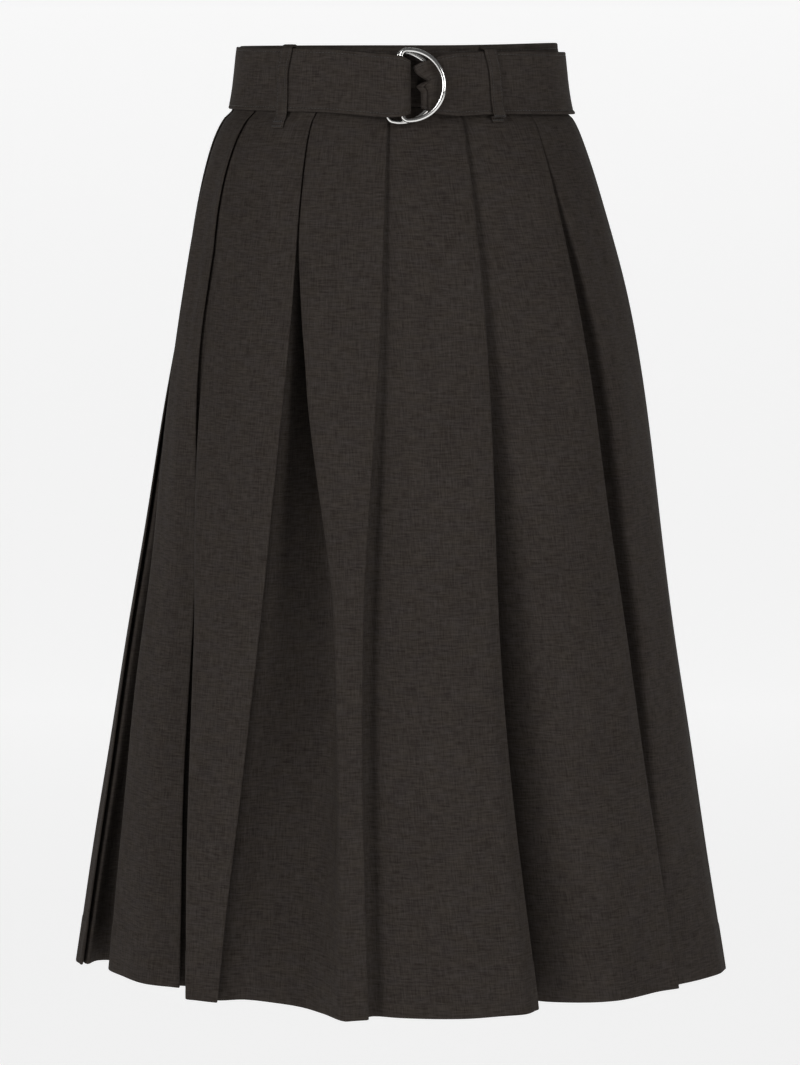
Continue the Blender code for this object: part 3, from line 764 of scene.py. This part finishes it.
def make_suiting():
    """Matt worsted suiting: threads of two near shades in both directions, slightly slubbed."""
    look = Look("suiting")
    measure_map = look.node("ShaderNodeUVMap", {})
    measure_map.uv_map = CLOTH_MAP
    measure = measure_map.outputs["UV"]
    weft, warp, slub, yarn, cloud, patches = (
        look.drawn_out(measure, *noise, seed) for seed, noise in enumerate(YARNS, 1))
    fine = look.weighted((slub, 0.8), (yarn, 0.7))
    threads = look.weighted((weft, 1.0), (warp, 0.8), (fine, 1.0), (cloud, 0.2))
    tone = look.math("MULTIPLY", threads, 1.0 / 3.5)
    colour = look.ramp(tone, (0.40, SUITING_DARK), (0.60, SUITING_LIGHT))
    tint = look.ramp(patches, (0.36, (1.015, 1.0, 0.97)), (0.64, (0.99, 0.99, 1.025)))
    split = look.node("ShaderNodeSeparateXYZ", {0: measure})
    cycles = 2 * math.pi / (YARN_PITCH * MM)
    over = look.math("SINE", look.math("MULTIPLY", split.outputs["X"], cycles))
    under = look.math("SINE", look.math("MULTIPLY", split.outputs["Y"], cycles))
    weave = look.math("MULTIPLY", over, under)
    look.shader({
        "Base Color": look.tinted(colour, tint),
        "Normal": look.bump(look.weighted((weave, 0.35), (fine, 1.0)), 0.35, 0.12 * MM),
        "Roughness": look.math("MULTIPLY_ADD", tone, 0.25, 0.68),
        "Specular IOR Level": 0.06,
        "Sheen Weight": 0.01,
        "Sheen Roughness": 0.45,
        "Sheen Tint": (0.75, 0.70, 0.66, 1.0),
    })
    look.material.diffuse_color = (0.036, 0.031, 0.028, 1.0)
    return look.material


def make_thread():
    """Sewing thread a little darker than the suiting."""
    look = Look("sewing_thread")
    twist = look.object_noise(900.0)
    look.shader({
        "Base Color": look.ramp(twist, (0.0, (0.012, 0.0105, 0.009)), (1.0, (0.021, 0.018, 0.016))),
        "Roughness": 0.6,
        "Sheen Weight": 0.2,
    })
    return look.material


def make_metal():
    """Polished, silver-coloured plating with faint polishing marks."""
    look = Look("plated_wire")
    marks = look.object_noise(400.0, 3.0)
    look.shader({
        "Base Color": (0.80, 0.79, 0.77, 1.0),
        "Metallic": 1.0,
        "Roughness": look.math("MULTIPLY_ADD", marks, 0.10, 0.13),
        "Normal": look.bump(marks, 0.08, 0.05 * MM),
    })
    return look.material


# -------- the skirt panels

PANEL_TOP_ROWS = (0, 1.5, 3.2, 5.2, 7.6, 10.4, 13.6, 17.4, 22, 27.4, 33.6)
PANEL_BODY_ROWS = 84
PANEL_HEM_ROWS = (39.4, 38.6, 37.6, 36.4, 34, 29, 23, 17, 11, 6, 2.6, 1.2, 0.5, 0.1)
HEM_FOLD_REACH = 1.3  # reach of the rounding along the folded hem


def panel_heights():
    """Heights of the panels' rows: close at the waist seam and at the hem, wider between."""
    rows = [SKIRT_TOP - depth for depth in PANEL_TOP_ROWS]
    start, end = rows[-1], HEM + HEM_ALLOWANCE + 3.0
    rows += [start + (end - start) * i / PANEL_BODY_ROWS for i in range(1, PANEL_BODY_ROWS + 1)]
    rows += [HEM + rise for rise in PANEL_HEM_ROWS]
    return rows


def make_panel(name, first, last, material):
    heights = panel_heights()
    plans = [panel_plan(first, last, height) for height in heights]
    steps, cuts, middles = plans[0][1:]
    control = np.array([[(p.x, p.y, h) for p in plan[0]] for plan, h in zip(plans, heights)])
    middle = uneven(refine(control, steps))
    row_height = np.array(heights)[:, None]
    along = arc_lengths(middle)
    left, right = np.empty_like(along), np.empty_like(along)
    edges = [0, *cuts, middle.shape[1] - 1]
    for number, centre in enumerate(middles):
        start, end = edges[number], edges[number + 1]
        own = along - along[:, centre:centre + 1] + CLOTH_SHIFT * (first + number)
        left[:, start:end] = own[:, start:end]
        right[:, start + 1:end + 1] = own[:, start + 1:end + 1]
    left[:, -1], right[:, 0] = right[:, -1], left[:, 0]
    double, single = (HEM + rise for rise in HEM_LAYER_END)
    thick = SUITING + (HEM_CLOTH - SUITING) * (1.0 - ease(double, single, row_height))
    half = 0.5 * thick * rounded(row_height - HEM, HEM_FOLD_REACH, 0.02)
    return shell(name, middle, half, material, left, right, (row_height - SKIRT_TOP) * SLANT)


# -------- waistband, belt and loops


def rim_lift(turn):
    """The waistband's top edge stands a little higher towards the right side."""
    return RIM_LIFT * float(ease(0.0, 80.0, turn) * (1.0 - ease(95.0, 170.0, turn)))


def make_waistband(material, thread, columns=200):
    heights = [0, -0.15, -0.5, -1, -1.8, -2.8, -3.5, -RIM_STITCH, -4.5, -5.2, -7, -10]
    heights += [-10.0 - (WAISTBAND_DEPTH - 10.0) * i / 8 for i in range(1, 9)]
    turns = [360.0 * i / columns for i in range(columns)]
    middle = np.empty((len(heights), columns, 3))
    for r, height in enumerate(heights):
        out = 0.5 * (CLOTH - WAISTBAND_CLOTH) - RIM_GROOVE * hump(height, -RIM_STITCH, 0.6)
        for c, turn in enumerate(turns):
            lift = rim_lift(turn) * (1.0 + height / WAISTBAND_DEPTH)
            middle[r, c] = (*plan_point(turn, out, height), height + lift)
    half = 0.5 * WAISTBAND_CLOTH * rounded(-np.array(heights), ROUNDING, 0.03)[:, None]
    along = arc_lengths(np.concatenate([middle, middle[:, :1]], axis=1))
    left, right = along[:, :-1], np.roll(along[:, 1:], 1, axis=1)
    down = np.array(heights)[:, None]
    band = shell("waistband_cloth", middle, half, material, left, right, down, closed=True)
    row = heights.index(-RIM_STITCH)
    outward = surface_normals(middle, True)[row]
    line = middle[row] + outward * (half[row] - 0.02)
    run = stitch_line(np.concatenate([line, line[:1]]), np.concatenate([outward, outward[:1]]))
    return band, add_stitches("waistband_stitches", [run], thread)


def even_stations(start, end, out):
    """Stations from past the start arc to the end arc, about one belt step apart."""
    count = round(abs(end - start) / BELT_STEP)
    return [Station(start + (end - start) * i / count, out) for i in range(1, count + 1)]


def belt_stations():
    """The belt's whole route: the hold round the rings, round the body, the pass and the tail."""
    passing = [s._replace(arc=s.arc - WAIST_GIRTH) for s in BELT_PASS]
    body = even_stations(BELT_HOLD[-1].arc, passing[0].arc, BELT_OUT)[:-1]
    tail = even_stations(passing[-1].arc, TAIL_END_ARC - WAIST_GIRTH, TAIL_OUT)
    return [*BELT_HOLD, *body, *passing, *tail]


def belt_middle(arc):
    """Height of the middle of the belt's width at a distance along the waist."""
    lowest_arc = BELT_WRAP_ARC - 0.5 * WAIST_GIRTH
    wrapped = (arc - lowest_arc) % WAIST_GIRTH + lowest_arc
    return smooth_value(*zip(*BELT_DROP), wrapped)


def belt_edge_rows():
    """Distances from the belt's top edge of its rows: close at both edges and their stitching."""
    near = [0, 0.12, 0.42, 0.9, 1.5, 2.1, 2.5, EDGE_STITCH, 3.1, 3.5, 4.2, 5.6]
    inside = [near[-1] + (BELT_WIDTH - 2 * near[-1]) * i / 14 for i in range(1, 14)]
    return near + inside + [BELT_WIDTH - d for d in reversed(near)]


def squeezed(arc, out, share):
    """How far the rings push the strap aside and inward: a deep pinch above the middle of its
    turn, a push below it, and a furrow and a dimple in its outer run."""
    if arc > SQUEEZE_END_ARC:
        return 0.0, 0.0
    pinch, push, furrow, dimple = (part.size * hump(arc, part.arc, part.run)
                                   for part in (PINCH, PUSH, FURROW, DIMPLE))
    middle, above, below = PINCH.shares
    aside = (pinch * hump(share, middle, above if share < middle else below)
             + push * ease(*PUSH.shares, share))
    if out < SQUEEZE_OUTER:
        return aside, 0.0
    return aside, furrow * ease(*FURROW.shares, share) + dimple * hump(share, *DIMPLE.shares)


def belt_route():
    """Places along the belt's length: arc, out and how much is trimmed from its top and bottom."""
    stations = belt_stations()
    steps = []
    for a, b in zip(stations, stations[1:]):
        turning = max(a.out, b.out) > TAIL_OUT + 0.2 or max(a.trim_top, b.trim_top) > 0.0
        steps.append(5 if turning else max(2, round(abs(b.arc - a.arc) / 3.0)))
    route = refine(np.array([stations]), steps)[0]
    route[:, 2:] = np.clip(route[:, 2:], 0.0, None)
    return route


def make_belt(material, thread):
    route = belt_route()
    rows = belt_edge_rows()
    middle = np.empty((len(rows), len(route), 3))
    for c, (arc, out, trim_top, trim_bottom) in enumerate(route):
        top = belt_middle(arc) + 0.5 * BELT_WIDTH - trim_top
        width = BELT_WIDTH - trim_top - trim_bottom
        for r, distance in enumerate(rows):
            height = top - distance * width / BELT_WIDTH
            aside, inward = squeezed(arc + WAIST_GIRTH, out, distance / BELT_WIDTH)
            middle[r, c] = (*plan_point(turn_at_arc(arc + aside), out - inward, height), height)
    from_edge = np.minimum(rows, BELT_WIDTH - np.array(rows))
    half = 0.5 * BELT_SHOWN * rounded(from_edge, ROUNDING, 0.03)
    half = np.repeat((half - BELT_GROOVE * hump(from_edge, EDGE_STITCH, 0.5))[:, None], len(route), axis=1)
    half[:, [0, -1]] *= 0.5
    across = arc_lengths(middle)[len(rows) // 2]
    belt = shell("belt_cloth", middle, half, material, across, across, -np.array(rows)[:, None])
    normals = surface_normals(middle)
    stitch_row = rows.index(EDGE_STITCH)
    runs = [stitches_on(middle, normals, half, row, side)
            for row in (stitch_row, len(rows) - 1 - stitch_row) for side in (1.0, -1.0)]
    return belt, add_stitches("belt_stitches", runs, thread)


def loop_profile(loop):
    """Height and out down a belt loop, over the belt to the pleats. It starts on the waistband's
    face where that shows above the belt, and on its rim where it doesn't."""
    belt_top = belt_middle(WAIST_ARCS[round(loop.turn) % 360]) + 0.5 * BELT_WIDTH
    belt_bottom = belt_top - BELT_WIDTH
    over = loop.over + 0.5 * (BELT_CLOTH + LOOP_CLOTH) + 0.5
    on_rim = 0.5 * LOOP_CLOTH + SEAM_GAP
    on_pleats = 0.5 * (CLOTH + LOOP_CLOTH) + SEAM_GAP
    start = [(on_rim, -1.2), (on_rim, 1.2), (belt_top + 0.9, over - 0.6)]
    if belt_top < BAND_SHOWN:
        lift = rim_lift(loop.turn)
        start = [(lift - 0.6, on_pleats), (lift - 1.6, on_pleats + 0.4), (belt_top + 1.2, over - 0.4)]
    return [*start, (belt_top - 2.5, over),
            (belt_top - 20.0, over), (belt_bottom + 12.0, over), (belt_bottom - 0.8, over),
            (0.5 * (belt_bottom + loop.end) + 1.0, on_pleats + 0.9), (loop.end + 2.6, on_pleats),
            (loop.end, on_pleats)]


def loop_turn(loop, height):
    """Turn of a loop's middle: it leans evenly and bends aside towards its top."""
    bend = math.exp(-((height / LOOP_BEND_REACH) ** 2))
    return loop.turn + loop.lean * height / WAISTBAND_DEPTH + loop.bend * bend


def make_loop(loop, material, thread):
    control = np.array([[(out, height, 0.0) for height, out in loop_profile(loop)]])
    profile = refine(control, (2, 4, 4, 5, 5, 6, 4, 4, 4))[0]
    beside = [0.4, LOOP_STITCH, 0.74, 0.84, 0.93, 0.985, 1.0]
    shares = [*(-share for share in reversed(beside)), 0.0, *beside]
    across = np.array(shares)
    middle = np.empty((len(profile), len(across), 3))
    for r, (out, height, _) in enumerate(profile):
        turn = loop_turn(loop, height)
        half_turn = 0.5 * degrees_for(LOOP_WIDTH, turn, height)
        for c, share in enumerate(across):
            middle[r, c] = (*plan_point(turn + share * half_turn, out, height), height)
    half = 0.5 * LOOP_CLOTH * rounded(1.0 - np.abs(across), 0.2, 0.05)
    half = half - LOOP_GROOVE * hump(np.abs(across), 0.70, 0.08)
    half = np.repeat(half[None, :], len(profile), axis=0)
    half[[0, -1]] *= 0.6
    down = -line_lengths(middle[:, shares.index(0.0)])[:, None]
    measure = across * 0.5 * LOOP_WIDTH + LOOP_CLOTH_SHIFT * abs(loop.turn)
    strap = shell(loop.name + "_cloth", middle, half, material, measure, measure, down)
    normals = surface_normals(middle)

    def row_at(height):
        return int(np.argmin(np.abs(profile[:, 1] - height)))

    last = row_at(loop.end + 1.0)
    runs = [stitches_on(middle, normals, half, (slice(4, last), shares.index(share)))
            for share in (-LOOP_STITCH, LOOP_STITCH)]
    for height in (loop.end + 1.4, loop.end + 5.2):
        for shift in (-0.35, 0.0, 0.35):
            runs.append(stitches_on(middle, normals, half, (row_at(height), slice(1, -1)), shift=shift,
                                    pitch=1.5, share=0.95, lift=0.16))
    return strap, add_stitches(loop.name + "_stitches", runs, thread)


# -------- the rings


def arc_points(centre, radius, degrees):
    return [(centre[0] + radius * math.cos(math.radians(a)), centre[1] + radius * math.sin(math.radians(a)))
            for a in degrees]


def ring_route():
    """Half-round ring along its wire's centre: a straight bar with a bow, x from the bar."""
    radius = 0.5 * RING_HEIGHT
    bar_end = radius - RING_CORNER
    return [*((0.0, z) for z in np.linspace(-bar_end, bar_end, 17)[1:-1]),
            *arc_points((RING_CORNER, bar_end), RING_CORNER, range(180, 89, -10)),
            *arc_points((RING_WIDTH - radius, 0.0), radius, range(90, -91, -4)),
            *arc_points((RING_CORNER, -bar_end), RING_CORNER, range(270, 179, -10))]


def ring_place(ring, x, z):
    """Turn a place in a ring's own plane into a place on the garment, in millimetres."""
    lean = math.radians(ring.lean)
    across = ring.bar_x + x * math.cos(lean) + z * math.sin(lean)
    height = ring.middle_height + z * math.cos(lean) - x * math.sin(lean)
    rim, foot = OUTLINE[:2]
    front = rim.front + (foot.front - rim.front) * height / foot.height
    out = ring.bar_out + (ring.bow_out - ring.bar_out) * x / RING_WIDTH
    return (across, -front - out, height)


def make_ring(ring, material, sides=20):
    line = np.array([ring_place(ring, x, z) for x, z in ring_route()])
    ahead = unit(np.roll(line, -1, axis=0) - np.roll(line, 1, axis=0))
    on_bar, on_corner, on_bow = line[5], line[20], line[50]
    flat = unit(np.cross(on_corner - on_bar, on_bow - on_bar))
    aside = unit(np.cross(ahead, flat))
    up = unit(np.cross(aside, ahead))
    angles = 2 * math.pi * np.arange(sides) / sides
    points = (line[:, None] + 0.5 * WIRE * (np.cos(angles)[None, :, None] * aside[:, None]
                                            + np.sin(angles)[None, :, None] * up[:, None]))
    faces = tube_faces(len(line), sides, closed=True)
    return add_mesh(ring.name + "_wire", points.reshape(-1, 3), faces, material)


# -------- stage, light and camera

# All in metres and watts.
FLOOR, FLOOR_FRONT, BACKDROP, BACKDROP_TOP = -1.25, -6.0, 6.5, 4.0
BACKDROP_RADIUS, BACKDROP_SIDE = 1.6, 6.0

Light = namedtuple("Light", "name place power")
LIGHTS = (
    Light("soft_box_right", (2.75, -2.45, 0.9), 51.0),
    Light("soft_box_left", (-2.6, -2.6, 0.9), 62.0),
)
LIGHT_AIM = (0.0, 0.0, -0.35)
LIGHT_SIZE = (1.2, 2.0)

CAMERA_PLACE = (0.0, -3.8, 0.03)
CAMERA_DOWN = 6.273  # degrees below level
CAMERA_LENS = 161.3  # millimetres, as the sensor's width
CAMERA_SENSOR = 36.0


def make_stage():
    """A pale floor that curves up into a plain backdrop."""
    look = Look("studio_paper")
    look.shader({
        "Base Color": (0.50, 0.50, 0.50, 1.0),
        "Emission Color": (1.0, 1.0, 1.0, 1.0),
        "Emission Strength": 0.71,
        "Roughness": 1.0,
        "Specular IOR Level": 0.0,
    })
    centre = (BACKDROP - BACKDROP_RADIUS, FLOOR + BACKDROP_RADIUS)
    profile = [(FLOOR_FRONT, FLOOR), *arc_points(centre, BACKDROP_RADIUS, np.linspace(-90.0, 0.0, 25)),
               (BACKDROP, BACKDROP_TOP)]
    points = [(side, y, z) for y, z in profile for side in (-BACKDROP_SIDE, BACKDROP_SIDE)]
    faces = [(2 * i, 2 * i + 1, 2 * i + 3, 2 * i + 2) for i in range(len(profile) - 1)]
    backdrop = add_mesh("backdrop", np.array(points) / MM, faces, look.material)


def make_light():
    """A faint even light, and a soft box on either side of the camera."""
    world = bpy.data.worlds.new("studio")
    world.use_nodes = True
    background = world.node_tree.nodes["Background"]
    background.inputs["Color"].default_value = (1.0, 1.0, 1.0, 1.0)
    background.inputs["Strength"].default_value = 0.09
    bpy.context.scene.world = world
    for light in LIGHTS:
        data = bpy.data.lights.new(light.name, "AREA")
        data.shape = "RECTANGLE"
        data.size, data.size_y = LIGHT_SIZE
        data.energy = light.power
        box = link_new(light.name, data)
        box.location = light.place
        box.rotation_euler = (Vector(LIGHT_AIM) - box.location).to_track_quat("-Z", "Y").to_euler()


def make_camera():
    data = bpy.data.cameras.new("camera")
    data.lens = CAMERA_LENS
    data.sensor_width = CAMERA_SENSOR
    data.clip_end = 50.0
    camera = link_new("camera", data)
    camera.location = CAMERA_PLACE
    camera.rotation_euler = (math.radians(90.0 - CAMERA_DOWN), 0.0, 0.0)
    bpy.context.scene.camera = camera


# -------- the garment


def place_piece(obj, slot, *nodes):
    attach(obj, "root")
    if nodes:
        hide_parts(*nodes)


make_camera()
bpy.context.scene.view_settings.view_transform = "Standard"

suiting = make_suiting()
thread = make_thread()
metal = make_metal()

front = make_panel("skirt_front_cloth", LEFT_SEAM_FOLD, RIGHT_SEAM_FOLD, suiting)
back = make_panel("skirt_back_cloth", RIGHT_SEAM_FOLD, LEFT_SEAM_FOLD + len(FOLDS), suiting)
place_piece(front, "cloth", "skirt_front")
place_piece(back, "cloth", "skirt_back")

band, band_stitches = make_waistband(suiting, thread)
place_piece(band, "cloth", "waistband")
place_piece(band_stitches, "cloth")

belt, belt_sewing = make_belt(suiting, thread)
place_piece(belt, "cloth", "belt")
place_piece(belt_sewing, "cloth")

for ring in RINGS:
    wire = make_ring(ring, metal)
    place_piece(wire, "metal", ring.name)

for loop in LOOPS:
    strap, sewing = make_loop(loop, suiting, thread)
    place_piece(strap, "cloth", loop.name)
    place_piece(sewing, "cloth")

make_stage()
make_light()
